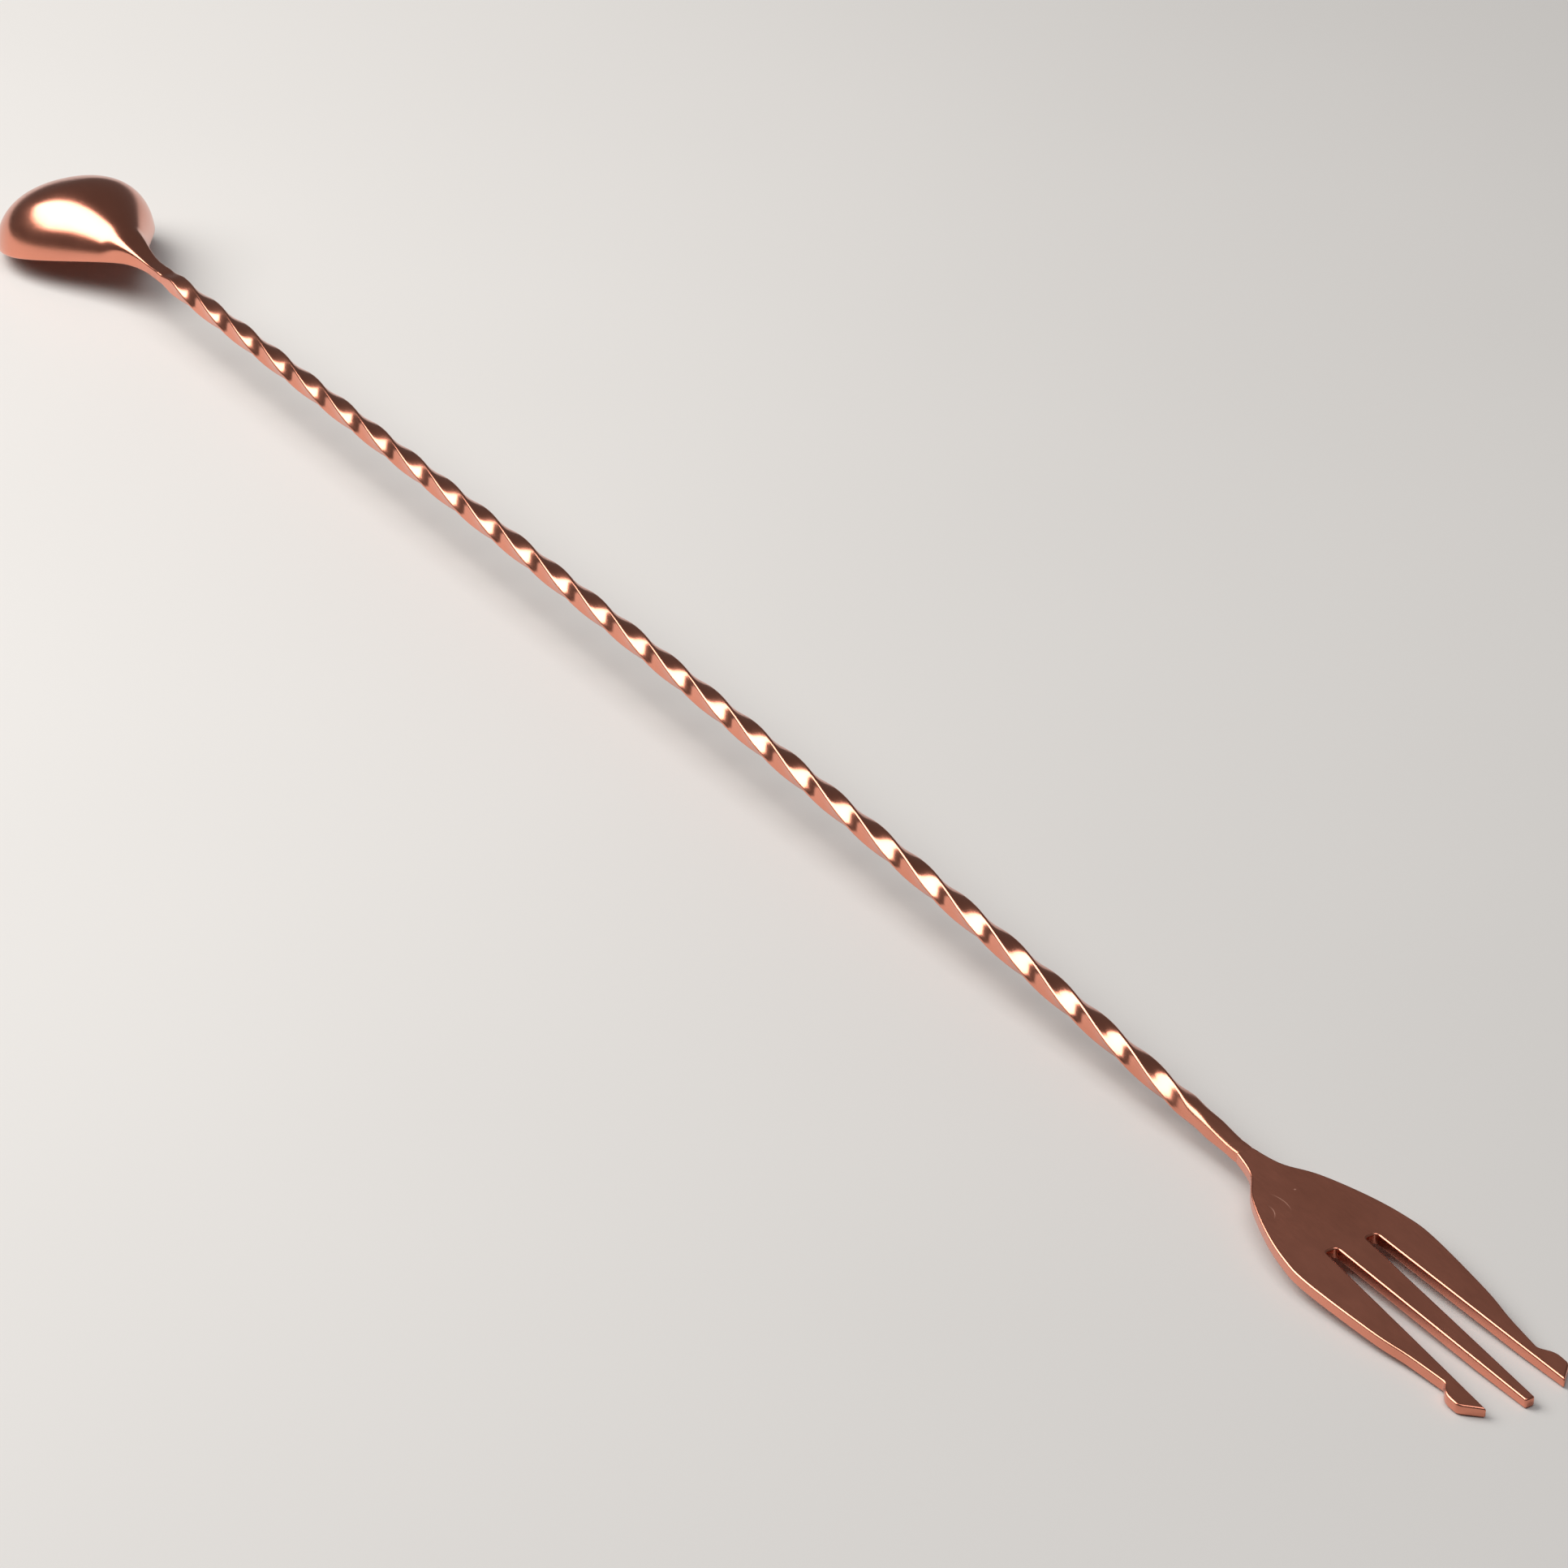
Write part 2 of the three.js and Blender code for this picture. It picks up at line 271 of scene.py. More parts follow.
def bezier(controls, steps):
    """Points along a Bezier curve of any order, without the first one."""
    order = len(controls) - 1
    result = []
    for step in range(1, steps + 1):
        t = step / steps
        weights = [math.comb(order, k) * (1 - t) ** (order - k) * t**k for k in range(order + 1)]
        result.append(tuple(sum(w * point[k] for w, point in zip(weights, controls)) for k in (0, 1)))
    return result


def fork_half_outline():
    """Half of the outline from the neck to the middle prong's tip, as (back from the tips, to one side)."""
    neck = (FORK_LENGTH, FORK_NECK_HALF)
    round_start = (BARB_CORNER + BARB_CORNER_ROUND, BARB_SIDE)
    round_end = (BARB_CORNER - BARB_CORNER_ROUND, BARB_SIDE - BARB_CORNER_ROUND)
    outer_edge = (SLOT_ROOT - SLOT_ROOT_CORNER, SLOT_ROOT_OUTSIDE)
    outer_corner = (SLOT_ROOT, SLOT_ROOT_OUTSIDE)
    outer_root = (SLOT_ROOT, SLOT_ROOT_OUTSIDE - SLOT_ROOT_CORNER)
    inner_root = (SLOT_ROOT, PRONG_ROOT_HALF + SLOT_ROOT_CORNER)
    inner_corner = (SLOT_ROOT, PRONG_ROOT_HALF)
    inner_edge = (SLOT_ROOT - SLOT_ROOT_CORNER, PRONG_ROOT_HALF)
    outline = [neck]
    outline += catmull_rom([neck, *PALM_SIDE], PALM_STEPS)
    outline += bezier([PALM_SIDE[-1], *NOTCH_CONTROLS, (BARB_SHOULDER, BARB_SIDE)], NOTCH_STEPS)
    outline += [round_start, *bezier([round_start, (BARB_CORNER, BARB_SIDE), round_end], CORNER_STEPS)]
    outline += [(POINT_BACK, POINT_SIDE), outer_edge]
    outline += bezier([outer_edge, outer_corner, outer_root], CORNER_STEPS)
    outline += [inner_root, *bezier([inner_root, inner_corner, inner_edge], CORNER_STEPS)]
    outline.append((0, PRONG_TIP_HALF))
    return outline


def plate_point(back, side, up):
    """A point of the sloping plate, from how far back, to one side and up in the plate it is."""
    x = FORK_TIP_X - back * math.cos(PLATE_SLOPE) + up * math.sin(PLATE_SLOPE)
    z = back * math.sin(PLATE_SLOPE) + up * math.cos(PLATE_SLOPE) - PLATE_DROP
    return Vector((x, -side, z))


def thin_tips(bm):
    """Raises the plate's underside towards the tips, from a crease across the prongs."""
    crease = plate_point(THINNING_LENGTH, 0, 0)
    along = (plate_point(0, 0, 0) - crease).normalized()
    up = (plate_point(0, 0, 1) - plate_point(0, 0, 0)).normalized()
    everything = bm.faces[:] + bm.edges[:] + bm.verts[:]
    bmesh.ops.bisect_plane(bm, geom=everything, plane_co=crease, plane_no=along)
    rise = (PLATE_THICKNESS - TIP_THICKNESS) / THINNING_LENGTH
    for vert in bm.verts:
        if (vert.co - crease).dot(up) < PLATE_THICKNESS / 2:
            vert.co += up * rise * max((vert.co - crease).dot(along), 0)


def is_rim(edge):
    """True where one of the plate's flats meets a wall."""
    up = plate_point(0, 0, 1) - plate_point(0, 0, 0)
    facing = sorted(abs(face.normal.dot(up)) for face in edge.link_faces)
    return facing[0] < 0.5 < facing[1]


def build_fork():
    half = fork_half_outline()
    outline = half + [(back, -side) for back, side in reversed(half)]
    bm = bmesh.new()
    top = [bm.verts.new(plate_point(back, side, PLATE_THICKNESS)) for back, side in outline]
    bottom = [bm.verts.new(plate_point(back, side, 0)) for back, side in outline]
    bm.faces.new(top)
    bm.faces.new(list(reversed(bottom)))
    for index in range(len(outline)):
        following = (index + 1) % len(outline)
        bm.faces.new((top[index], bottom[index], bottom[following], top[following]))
    bmesh.ops.recalc_face_normals(bm, faces=bm.faces)
    thin_tips(bm)
    bm.normal_update()
    rims = {edge for edge in bm.edges if is_rim(edge)}
    others = [edge for edge in bm.edges if edge not in rims]
    corners = {edge for edge in others if edge.calc_face_angle_signed() > SHARP_CORNER}
    bmesh.ops.bevel(
        bm,
        geom=list(rims | corners),
        offset=PLATE_EDGE_RADIUS,
        offset_type="OFFSET",
        segments=PLATE_EDGE_SEGMENTS,
        profile=0.5,
        affect="EDGES",
        clamp_overlap=True,
    )
    bmesh.ops.remove_doubles(bm, verts=bm.verts, dist=0.001)
    fork = make_object("fork_plate", bm)
    mark_flats(fork)
    weight_normals(fork)
    return fork


def weight_normals(piece):
    """Keeps large flat faces flat to the eye where they run into rounded edges."""
    modifier = piece.modifiers.new("normals", "WEIGHTED_NORMAL")
    modifier.mode = "FACE_AREA"
    modifier.weight = 100
    with bpy.context.temp_override(object=piece, active_object=piece, selected_objects=[piece]):
        bpy.ops.object.modifier_apply(modifier=modifier.name)


def mark_flats(piece):
    """Stores where both flats are as "flat", and where the upper one is as "top". Edges and walls get 0."""
    up = plate_point(0, 0, 1) - plate_point(0, 0, 0)
    flat = piece.data.attributes.new("flat", "FLOAT", "CORNER")
    top = piece.data.attributes.new("top", "FLOAT", "CORNER")
    for face in piece.data.polygons:
        facing = face.normal.dot(up)
        for corner in face.loop_indices:
            flat.data[corner].value = abs(facing) > FLAT_FACING
            top.data[corner].value = facing > FLAT_FACING


# ---- Rod -----------------------------------------------------------------------------------------


def rod_ends():
    """x of the rod's two ends, which leave room for the welds."""
    beads = WELD_LENGTH + 2 * JOINT_GAP
    return bowl_point(-BOWL_NECK_LENGTH, 0, BOWL_NECK_DEPTH / 2).x + beads, FORK_NECK_X - beads


def rod_height(x):
    """Height of the rod's centre at x, on a cubic Bezier arch."""
    low, high = rod_ends()
    part = (high - x) / (high - low)
    weights = [math.comb(3, k) * (1 - part) ** (3 - k) * part**k for k in range(4)]
    return sum(weight * height for weight, height in zip(weights, ROD_HEIGHTS))


def twist_angle(x):
    """The turn of the section at x. The twist starts and stops softly."""
    rate = math.pi / 2 / QUARTER_TURN_LENGTH
    bowl_end = TWIST_FORK_END - QUARTER_TURNS * QUARTER_TURN_LENGTH
    return rate * (soft_ramp(x - bowl_end) - soft_ramp(x - TWIST_FORK_END))


def soft_ramp(distance):
    """0 before, the distance itself after, and a parabola in between."""
    if distance < -TWIST_EASE:
        return 0
    if distance > TWIST_EASE:
        return distance
    return (distance + TWIST_EASE) ** 2 / (4 * TWIST_EASE)


def bar_ring(x, z, width, thickness, turn=0, corner=ROD_CORNER):
    """A rounded rectangle across the spoon, turned about its own centre."""
    ring = []
    for quarter in range(4):
        side_y = 1 if quarter in (0, 3) else -1
        side_z = 1 if quarter < 2 else -1
        centre_y = side_y * (width / 2 - corner)
        centre_z = side_z * (thickness / 2 - corner)
        for step in range(RING_CORNER_POINTS):
            angle = (quarter + step / (RING_CORNER_POINTS - 1)) * math.pi / 2
            y = centre_y + corner * math.cos(angle)
            up = centre_z + corner * math.sin(angle)
            ring.append((y, up))
    spaced = []
    for index, point in enumerate(ring):
        spaced.append(point)
        if index % RING_CORNER_POINTS == RING_CORNER_POINTS - 1:
            following = ring[(index + 1) % len(ring)]
            for step in range(1, RING_SIDE_STEPS):
                part = step / RING_SIDE_STEPS
                spaced.append((lerp(point[0], following[0], part), lerp(point[1], following[1], part)))
    cosine = math.cos(turn)
    sine = math.sin(turn)
    return [Vector((x, y * cosine - up * sine, z + y * sine + up * cosine)) for y, up in spaced]


def loft(rings):
    """A closed tube through rings of equal count, with its ends filled."""
    bm = bmesh.new()
    rows = [[bm.verts.new(point) for point in ring] for ring in rings]
    for row, following in zip(rows, rows[1:]):
        for index in range(len(row)):
            beside = (index + 1) % len(row)
            bm.faces.new((row[index], row[beside], following[beside], following[index]))
    bm.faces.new(list(reversed(rows[0])))
    bm.faces.new(rows[-1])
    return bm


def build_rod():
    low, high = rod_ends()
    twist_low = TWIST_FORK_END - QUARTER_TURNS * QUARTER_TURN_LENGTH
    rings = []
    for step in range(ROD_RINGS + 1):
        x = lerp(low, high, step / ROD_RINGS)
        fork_part = (x - TWIST_FORK_END) / (high - TWIST_FORK_END)
        bowl_part = (twist_low - x) / (twist_low - low)
        forged = smooth(max(fork_part, bowl_part))
        width = lerp(ROD_SIDE, FORGED_WIDTH, forged)
        thickness = lerp(ROD_SIDE, FORGED_THICKNESS, forged)
        softened = smooth(1 - abs(x - SOFTENED_AT) / SOFTENED_REACH)
        corner = lerp(ROD_CORNER, SOFTENED_CORNER, softened)
        rings.append(bar_ring(x, rod_height(x), width, thickness, twist_angle(x), corner))
    bm = loft(rings)
    add_rod_grain(bm, len(rings[0]))
    return make_object("twisted_rod", bm)


def add_rod_grain(bm, around):
    """Gives the rod a UV map. U runs round the section and turns with it, and V runs from end to end."""
    bm.verts.index_update()
    layer = bm.loops.layers.uv.new("grain")
    for face in bm.faces:
        columns = [loop.vert.index % around for loop in face.loops]
        wraps = max(columns) - min(columns) > 1
        for loop, column in zip(face.loops, columns):
            turn = around if wraps and column == 0 else column
            loop[layer].uv = (turn / around, (loop.vert.index // around) / ROD_RINGS)


# ---- Welds ---------------------------------------------------------------------------------------


def weld_height(x):
    """Height of a bead's centre at x, which follows the rod and the two necks."""
    low, high = rod_ends()
    if low < x < high:
        return rod_height(x)
    if x > 0:
        return FORK_NECK_Z - max(x - FORK_NECK_X, 0) * math.tan(PLATE_SLOPE)
    neck = bowl_point(-BOWL_NECK_LENGTH, 0, BOWL_NECK_DEPTH / 2)
    return neck.z - max(neck.x - x, 0) * math.tan(NECK_SLOPE)


def build_weld(name, low_x, seed):
    """A dressed bead, from the x where its CAD solid starts."""
    start = low_x - JOINT_GAP - WELD_LAP
    end = low_x + WELD_LENGTH + JOINT_GAP + WELD_LAP
    rings = []
    for step in range(WELD_RINGS + 1):
        part = step / WELD_RINGS
        x = lerp(start, end, part)
        z = weld_height(x)
        proud = lerp(-WELD_PROUD, WELD_PROUD, math.sin(math.pi * part))
        ring = bar_ring(x, z, FORGED_WIDTH + 2 * proud, FORGED_THICKNESS + 2 * proud)
        rings.append([roughened(point, z, seed) for point in ring])
    return make_object(name, loft(rings))


def roughened(point, z, seed):
    """Moves a point of a bead a little in or out from the bead's centre."""
    centre = Vector((point.x, 0, z))
    swell = noise.noise(point * SWELL_SCALE + Vector((seed, seed, seed))) * WELD_PROUD * SWELL_PART
    return point + (point - centre).normalized() * swell


# ---- Bowl ----------------------------------------------------------------------------------------


def bowl_point(along, side, up):
    """A point of the bowl, from its place along the rim, to one side and up from the rim.

    Through the neck the slope eases from the rod's to the rim's as a smooth step, summed for the height.
    """
    bend = BEND_ENDS_AT + BOWL_NECK_LENGTH
    eased = min(max((along + BOWL_NECK_LENGTH) / bend, 0), 1)
    steepening = math.tan(BOWL_SLOPE) - math.tan(NECK_SLOPE)
    slope = math.atan(math.tan(NECK_SLOPE) + steepening * smooth(eased))
    lifted = steepening * bend * (0.5 - eased**3 + eased**4 / 2)
    short = max(BEND_ENDS_AT - along, 0)
    fall = (BOWL_LENGTH - along - short) * math.sin(BOWL_SLOPE)
    bent = math.cos(BOWL_SLOPE) * (short * math.tan(NECK_SLOPE) + lifted)
    x = BOWL_DEEPEST_X + (BOWL_DEEPEST_AT - along) * math.cos(BOWL_SLOPE)
    return Vector((x - up * math.sin(slope), side, fall + bent + up * math.cos(slope)))


def bowl_size(along, neck, full, full_at, tip_at, power):
    """Grows smoothly from the neck's size to the full one, then rounds off to the tip as an ellipse."""
    if along < full_at:
        return lerp(neck, full, smooth(max(along / full_at, 0) ** power))
    return full * math.sqrt(max(1 - ((along - full_at) / (tip_at - full_at)) ** 2, 0))


def outside_half(along):
    return bowl_size(along, BOWL_NECK_HALF, BOWL_HALF_WIDTH, BOWL_WIDEST_AT, BOWL_LENGTH, BOWL_WIDENING)


def outside_depth(along):
    return bowl_size(along, BOWL_NECK_DEPTH, BOWL_DEPTH, BOWL_DEEPEST_AT, BOWL_LENGTH, 1)


def inside_half(along):
    if along > BOWL_WIDEST_AT:
        full = BOWL_HALF_WIDTH - SHEET
        return bowl_size(along, 0, full, BOWL_WIDEST_AT, BOWL_LENGTH - SHEET, 1)
    half = outside_half(along)
    return half - min(SHEET, MOST_WALL_AT_NECK * half)


def inside_depth(along):
    if along > BOWL_DEEPEST_AT:
        return bowl_size(along, 0, BOWL_DEPTH - SHEET, BOWL_DEEPEST_AT, BOWL_LENGTH - SHEET, 1)
    return (outside_depth(along) - SHEET) * smooth((along - HOLLOW_STARTS_AT) / HOLLOW_EASE)


def arch_height(along, side, half, depth):
    """Height of a section's arch, which is boxy at the neck and nearly elliptical in the bowl."""
    power = lerp(NECK_SECTION_POWER, BOWL_SECTION_POWER, smooth(along / NECK_BLEND_LENGTH))
    reach = min(abs(side) / max(half, 1e-6), 1)
    return depth * (1 - reach**power) ** (1 / power)


def outside_height(along, side):
    return arch_height(along, side, outside_half(along), outside_depth(along))


def inside_height(along, side):
    return arch_height(along, side, inside_half(along), inside_depth(along))


def wall_points(crest, rim, height_at, foot, steps):
    """Points from the crest down the wall to where it is foot high above the rim's plane."""
    low = WALL_SEARCH_START
    high = 1
    for _ in range(WALL_SEARCH_HALVINGS):
        middle = (low + high) / 2
        place = crest.lerp(rim, middle)
        if height_at(place.x, place.y) > foot:
            low = middle
        else:
            high = middle
    points = []
    for step in range(steps + 1):
        part = math.sin(step / steps * math.asin(low))
        place = crest.lerp(rim, part)
        points.append(Vector((place.x, place.y, height_at(place.x, place.y))))
    return points


def rim_arc(start, foot_height, reach, steps):
    """A quarter round from a wall's foot to the rim's plane, reach further along in the plan."""
    points = []
    for step in range(1, steps + 1):
        angle = step / steps * math.pi / 2
        place = start + reach * (1 - math.cos(angle))
        place.z = foot_height * (1 - math.sin(angle))
        points.append(place)
    return points


def bowl_profile(crest, outer_rim, inner_rim, has_hollow):
    """One line over the wall: outside crest, outer wall, rounded rim, inner wall, inside crest."""
    inward = (crest - outer_rim).normalized()
    radius = RIM_ROUND * (outer_rim - inner_rim).length
    outer = wall_points(crest, outer_rim, outside_height, radius, OUTER_WALL_STEPS)
    outer += rim_arc(outer[-1], radius, inward * radius, RIM_STEPS)
    if has_hollow:
        depth = inside_depth(inner_rim.x)
        height = inside_height(*crest.lerp(inner_rim, WALL_SEARCH_START).xy)
        inner_foot = min(radius, RIM_INSIDE_LIMIT * depth, RIM_INSIDE_LIMIT * height)
        inner = wall_points(crest, inner_rim, inside_height, inner_foot, INNER_WALL_STEPS)
    else:
        inner_foot = 0
        inner = [crest.lerp(inner_rim, step / INNER_WALL_STEPS) for step in range(INNER_WALL_STEPS + 1)]
    arc = rim_arc(inner[-1], inner_foot, -inward * radius, RIM_STEPS)
    return outer + list(reversed(arc)) + list(reversed(inner))


def bowl_stations():
    """Each profile's crest, outer rim and inner rim in plan, from neck to tip, and whether it is hollow."""
    stations = []
    for step in range(NECK_AND_BODY_STEPS + 1):
        along = lerp(-BOWL_NECK_LENGTH, BOWL_DEEPEST_AT, step / NECK_AND_BODY_STEPS)
        crest = Vector((along, 0, 0))
        outer = Vector((along, outside_half(along), 0))
        inner = Vector((along, inside_half(along), 0))
        stations.append((crest, outer, inner, along > HOLLOW_OPENS_AT))
    crest = Vector((BOWL_DEEPEST_AT, 0, 0))
    for step in range(1, TIP_STEPS + 1):
        part = math.sin(step / TIP_STEPS * math.pi / 2)
        outer_along = lerp(BOWL_DEEPEST_AT, BOWL_LENGTH, part)
        inner_along = lerp(BOWL_DEEPEST_AT, BOWL_LENGTH - SHEET, part)
        outer = Vector((outer_along, outside_half(outer_along), 0))
        inner = Vector((inner_along, inside_half(inner_along), 0))
        stations.append((crest, outer, inner, True))
    return stations


def build_bowl():
    bm = bmesh.new()
    profiles = [bowl_profile(*station) for station in bowl_stations()]
    for side in (1, -1):
        columns = []
        for profile in profiles:
            columns.append([bm.verts.new(bowl_point(p.x, side * p.y, p.z)) for p in profile])
        grid_faces(bm, columns)
    bmesh.ops.remove_doubles(bm, verts=bm.verts, dist=0.0005)
    bmesh.ops.holes_fill(bm, edges=[edge for edge in bm.edges if edge.is_boundary])
    return make_object("bowl_shell", bm)


# ---- Materials -----------------------------------------------------------------------------------


def new_material(name):
    material = bpy.data.materials.new(name)
    material.use_nodes = True
    nodes = material.node_tree.nodes
    return material, nodes, material.node_tree.links, nodes["Principled BSDF"]


def noise_node(nodes, links, coordinates, scale, detail, roughness=0.55):
    """A noise of the given scale on each axis of the coordinates."""
    mapping = nodes.new("ShaderNodeMapping")
    mapping.inputs["Scale"].default_value = scale
    links.new(coordinates, mapping.inputs["Vector"])
    texture = nodes.new("ShaderNodeTexNoise")
    texture.inputs["Scale"].default_value = 1
    texture.inputs["Detail"].default_value = detail
    texture.inputs["Roughness"].default_value = roughness
    links.new(mapping.outputs["Vector"], texture.inputs["Vector"])
    return texture.outputs["Fac"]


def ramp_node(nodes, links, value, stops):
    """A blend between two stops, each a position and a colour."""
    ramp = nodes.new("ShaderNodeValToRGB")
    for element, (position, color) in zip(ramp.color_ramp.elements, stops):
        element.position = position
        element.color = color
    links.new(value, ramp.inputs["Fac"])
    return ramp.outputs["Color"]


def range_node(nodes, links, value, low, high, to_low, to_high):
    node = nodes.new("ShaderNodeMapRange")
    node.inputs["From Min"].default_value = low
    node.inputs["From Max"].default_value = high
    node.inputs["To Min"].default_value = to_low
    node.inputs["To Max"].default_value = to_high
    links.new(value, node.inputs["Value"])
    return node.outputs["Result"]


def math_node(nodes, links, operation, first, second):
    node = nodes.new("ShaderNodeMath")
    node.operation = operation
    for socket, value in zip(node.inputs, (first, second)):
        if isinstance(value, (int, float)):
            socket.default_value = value
        else:
            links.new(value, socket)
    return node.outputs["Value"]


def attribute_node(nodes, name):
    node = nodes.new("ShaderNodeAttribute")
    node.attribute_name = name
    return node.outputs["Fac"]


def distance_node(nodes, links, place, point):
    """Distance in metres from a point given in millimetres."""
    node = nodes.new("ShaderNodeVectorMath")
    node.operation = "DISTANCE"
    node.inputs[1].default_value = Vector(point) * MM
    links.new(place, node.inputs[0])
    return node.outputs["Value"]


def spot_mask(nodes, links, place, point, radius, edge):
    """1 within radius of a point, fading out over the given part of the radius."""
    distance = distance_node(nodes, links, place, point)
    return range_node(nodes, links, distance, radius * MM * (1 - edge), radius * MM, 1, 0)


def arc_scratch(nodes, links, place, radius, middle, reach):
    """1 along an arc about MARK_CENTRE, fading out within reach of the arc's middle."""
    distance = distance_node(nodes, links, place, MARK_CENTRE)
    offset = math_node(nodes, links, "SUBTRACT", distance, radius * MM)
    offset = math_node(nodes, links, "ABSOLUTE", offset, 0)
    line = range_node(nodes, links, offset, MARK_CORE * MARK_WIDTH * MM, MARK_WIDTH * MM, 1, 0)
    part = spot_mask(nodes, links, place, middle, reach, MARK_FADE)
    return math_node(nodes, links, "MULTIPLY", line, part)


def palm_marks(nodes, links, place):
    """1 in the arcs and the pits."""
    marks = 0
    for centre, radius in PITS:
        pit = spot_mask(nodes, links, place, centre, radius, MARK_FADE)
        marks = math_node(nodes, links, "MAXIMUM", marks, pit)
    for radius, middle, reach in MARK_ARCS:
        arc = arc_scratch(nodes, links, place, radius, middle, reach)
        marks = math_node(nodes, links, "MAXIMUM", marks, arc)
    return marks


def edge_nicks(nodes, links, place):
    """Small dents along one edge of the middle prong."""
    speckle = noise_node(nodes, links, place, SPECKLE_SCALE, 2)
    dents = range_node(nodes, links, speckle, *NICK_SPAN, 0, 1)
    nicks = 0
    for centre, radius in NICKS:
        nick = spot_mask(nodes, links, place, centre, radius, NICK_FADE)
        nicks = math_node(nodes, links, "MAXIMUM", nicks, nick)
    return math_node(nodes, links, "MULTIPLY", nicks, dents)


def copper_tone(nodes, links, place, marks):
    """Copper that varies a little in tone, and is lighter where a mark has scraped it."""
    clouds = noise_node(nodes, links, place, CLOUD_SCALE, 3)
    tone = ramp_node(nodes, links, clouds, COPPER_TONES)
    if marks is None:
        return tone
    mix = nodes.new("ShaderNodeMix")
    mix.data_type = "RGBA"
    mix.inputs["B"].default_value = BARE_TONE
    links.new(marks, mix.inputs["Factor"])
    links.new(tone, mix.inputs["A"])
    return mix.outputs["Result"]


def copper_material(name, polish, grain_scale, use_grain_uv=False, is_fork=False):
    """Copper plate with fine grain along the metal. The fork has satin flats, marks and nicks."""
    material, nodes, links, shader = new_material(name)
    coordinates = nodes.new("ShaderNodeTexCoord")
    place = coordinates.outputs["Object"]
    grain_place = coordinates.outputs["UV"] if use_grain_uv else place
    grain = noise_node(nodes, links, grain_place, grain_scale, 3, 0.6)
    smudges = noise_node(nodes, links, place, SMUDGE_SCALE, 5, 0.6)
    rough = range_node(nodes, links, smudges, *NOISE_SPAN, polish + SMUDGE_LEAST, polish + SMUDGE_MOST)
    streak = range_node(nodes, links, grain, *NOISE_SPAN, -STREAK, STREAK)
    rough = math_node(nodes, links, "ADD", rough, streak)
    if is_fork:
        flat = attribute_node(nodes, "flat")
        top = attribute_node(nodes, "top")
        marks = math_node(nodes, links, "MULTIPLY", palm_marks(nodes, links, place), top)
        satin = math_node(nodes, links, "MULTIPLY", flat, SATIN)
        rough = math_node(nodes, links, "ADD", rough, satin)
        mark_roughness = math_node(nodes, links, "MULTIPLY", marks, MARK_ROUGHNESS)
        rough = math_node(nodes, links, "ADD", rough, mark_roughness)
        grain_strength = range_node(nodes, links, flat, 0, 1, GRAIN_ON_EDGES, 1)
        grain = math_node(nodes, links, "MULTIPLY", grain, grain_strength)
        nicks = math_node(nodes, links, "MULTIPLY", edge_nicks(nodes, links, place), NICK_DEPTH)
        dents = math_node(nodes, links, "ADD", marks, nicks)
        height = math_node(nodes, links, "SUBTRACT", grain, dents)
    else:
        marks = None
        axes = nodes.new("ShaderNodeSeparateXYZ")
        links.new(place, axes.inputs["Vector"])
        satin = range_node(nodes, links, axes.outputs["X"], *SATIN_FADE, 0, SATIN)
        rough = math_node(nodes, links, "ADD", rough, satin)
        height = grain
    links.new(copper_tone(nodes, links, place, marks), shader.inputs["Base Color"])
    links.new(rough, shader.inputs["Roughness"])
    shader.inputs["Metallic"].default_value = 1
    bump = nodes.new("ShaderNodeBump")
    bump.inputs["Strength"].default_value = BUMP_STRENGTH
    bump.inputs["Distance"].default_value = GRAIN_DEPTH * MM
    links.new(height, bump.inputs["Height"])
    links.new(bump.outputs["Normal"], shader.inputs["Normal"])
    return material


def floor_material():
    material, nodes, links, shader = new_material("pale_floor")
    coordinates = nodes.new("ShaderNodeTexCoord")
    mottling = noise_node(nodes, links, coordinates.outputs["Object"], FLOOR_SCALE, 3)
    tone = ramp_node(nodes, links, mottling, FLOOR_TONES)
    links.new(tone, shader.inputs["Base Color"])
    shader.inputs["Roughness"].default_value = FLOOR_ROUGHNESS
    return material


def finish_piece(piece, material, node):
    piece.data.materials.append(material)
    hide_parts(node)
    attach(piece, "root")


# ---- Stage ---------------------------------------------------------------------------------------


def build_camera():
    data = bpy.data.cameras.new("camera")
    data.lens = CAMERA_LENS
    data.sensor_width = 36
    data.clip_start = 0.01
    data.clip_end = 20
    camera = bpy.data.objects.new("camera", data)
    bpy.context.scene.collection.objects.link(camera)
    camera.location = CAMERA_PLACE * MM
    look = LOOK_LEVEL.normalized() * math.cos(LOOK_DOWN) - Vector((0, 0, math.sin(LOOK_DOWN)))
    camera.rotation_euler = look.to_track_quat("-Z", "Y").to_euler()
    bpy.context.scene.camera = camera


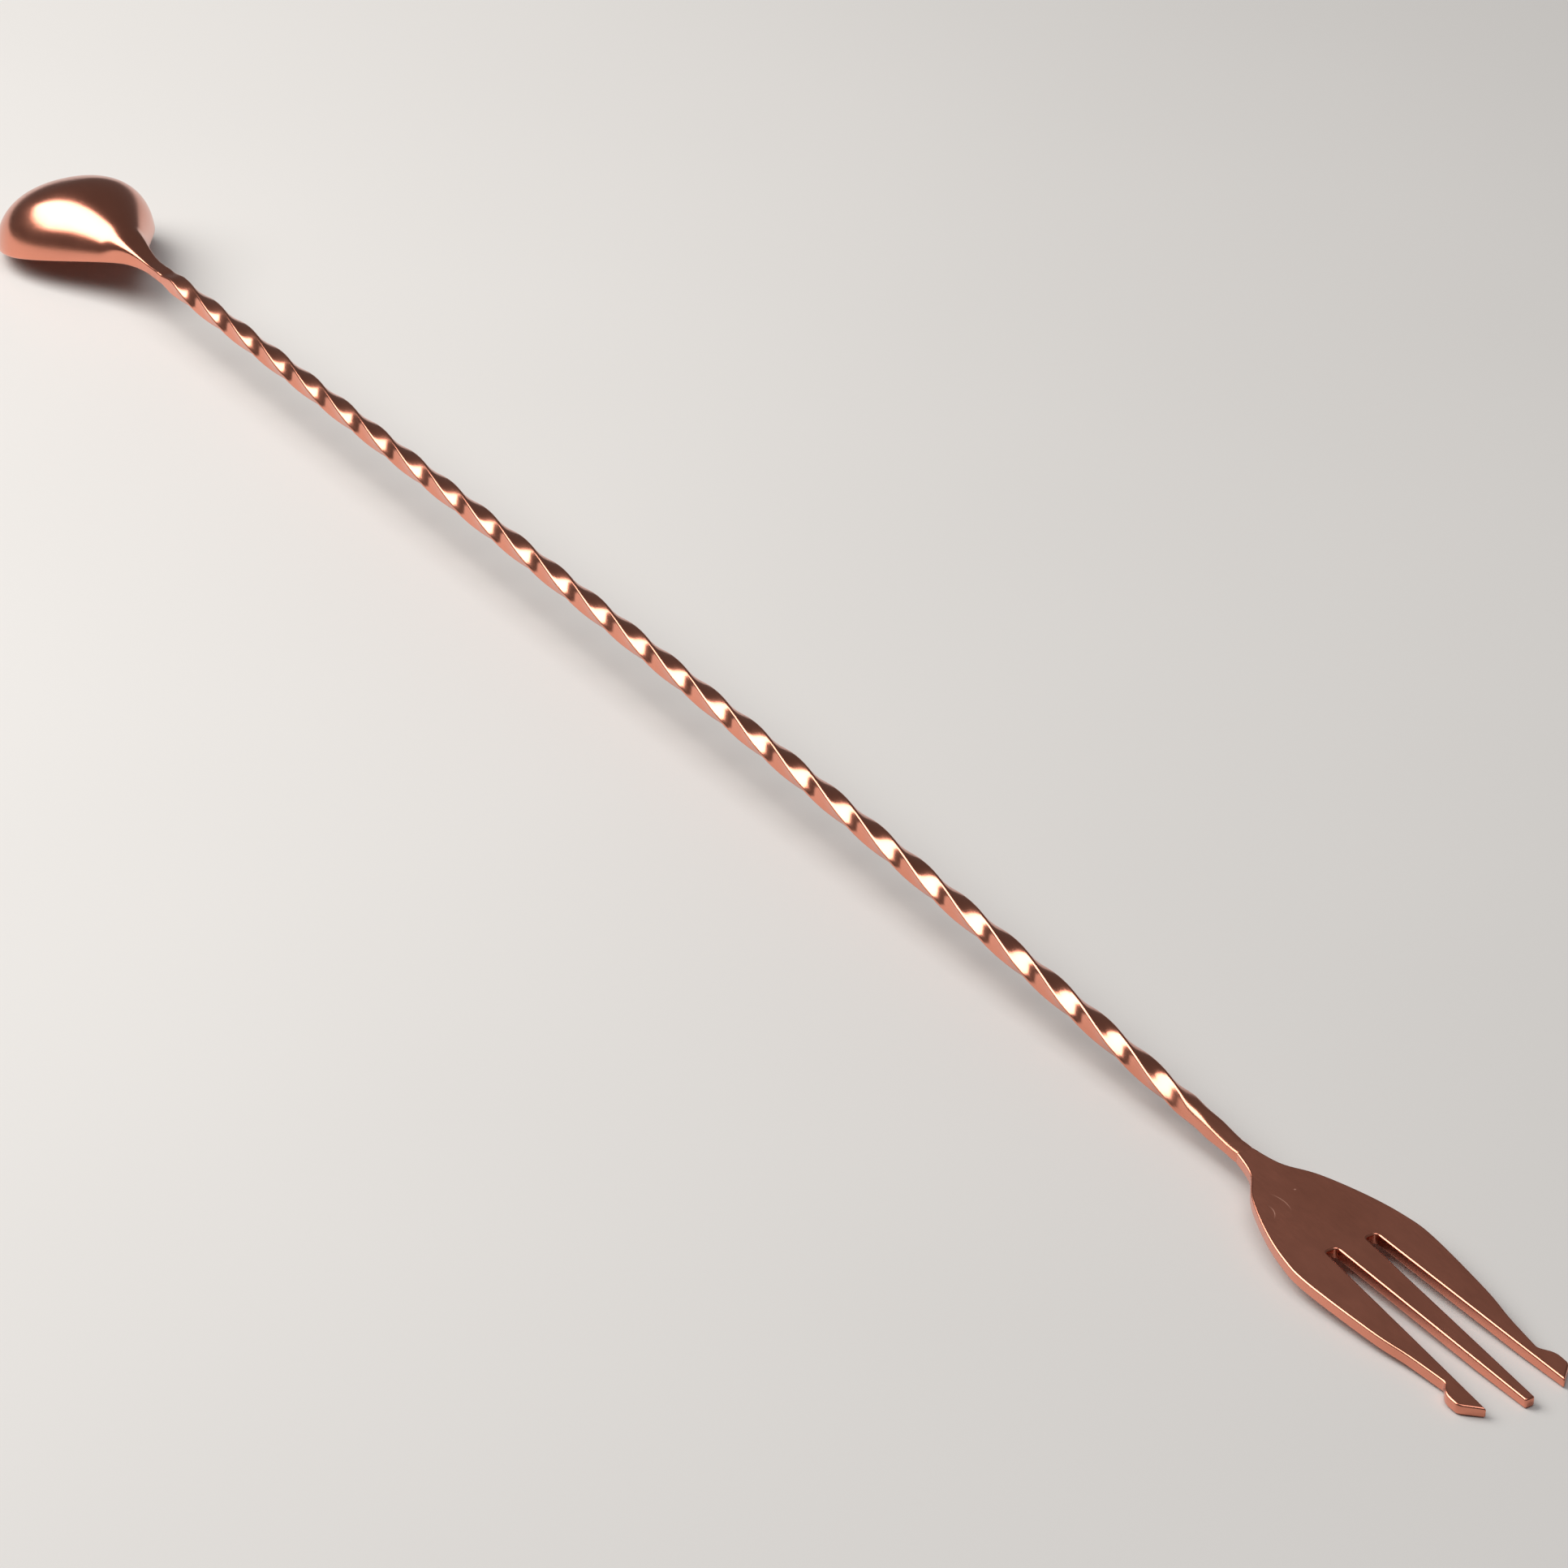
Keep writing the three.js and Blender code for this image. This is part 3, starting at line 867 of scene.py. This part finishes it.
def area_light(name, bearing, height, distance, target, size, power, color):
    """A soft box that faces target.

    bearing is in degrees from the camera's right (0) to the far side (90). height is in degrees, up from
    level.
    """
    forward = LOOK_LEVEL.normalized()
    right = Vector((forward.y, -forward.x, 0))
    turn = math.radians(bearing)
    lift = math.radians(height)
    level = right * math.cos(turn) + forward * math.sin(turn)
    direction = level * math.cos(lift) + Vector((0, 0, math.sin(lift)))
    data = bpy.data.lights.new(name, "AREA")
    data.shape = "RECTANGLE"
    data.size = size[0] * MM
    data.size_y = size[1] * MM
    data.energy = power
    data.color = color
    light = bpy.data.objects.new(name, data)
    bpy.context.scene.collection.objects.link(light)
    light.location = (Vector(target) + direction * distance) * MM
    light.rotation_euler = (-direction).to_track_quat("-Z", "Y").to_euler()


def build_stage():
    bpy.ops.mesh.primitive_plane_add(size=FLOOR_SIZE)
    floor = bpy.context.object
    floor.name = "floor"
    floor.data.materials.append(floor_material())
    area_light(
        "key",
        bearing=158,
        height=43,
        distance=800,
        target=(90, 0, 5),
        size=(660, 580),
        power=6.7,
        color=(1, 0.97, 0.93),
    )
    area_light(
        "top",
        bearing=300,
        height=75,
        distance=1200,
        target=(40, 0, 5),
        size=(800, 800),
        power=4,
        color=(1, 1, 1),
    )
    world = bpy.data.worlds.new("studio")
    world.use_nodes = True
    background = world.node_tree.nodes["Background"]
    background.inputs["Color"].default_value = WORLD_COLOR
    background.inputs["Strength"].default_value = WORLD_STRENGTH
    bpy.context.scene.world = world
    bpy.context.scene.view_settings.view_transform = "Standard"


def build_spoon():
    fork_copper = copper_material("fork_copper", FORK_POLISH, LENGTHWISE_GRAIN, is_fork=True)
    rod_copper = copper_material("rod_copper", ROD_POLISH, TWISTED_GRAIN, use_grain_uv=True)
    bowl_copper = copper_material("bowl_copper", BOWL_POLISH, LENGTHWISE_GRAIN)
    weld_copper = copper_material("weld_copper", WELD_POLISH, WELD_GRAIN)
    finish_piece(build_fork(), fork_copper, "fork_head")
    finish_piece(build_rod(), rod_copper, "twisted_stem")
    finish_piece(build_bowl(), bowl_copper, "spoon_bowl")
    low, high = rod_ends()
    fork_bead = build_weld("fork_bead", high + JOINT_GAP, 1)
    finish_piece(fork_bead, weld_copper, "fork_weld")
    bowl_bead = build_weld("bowl_bead", low - JOINT_GAP - WELD_LENGTH, 2)
    finish_piece(bowl_bead, weld_copper, "bowl_weld")


build_camera()
build_spoon()
build_stage()
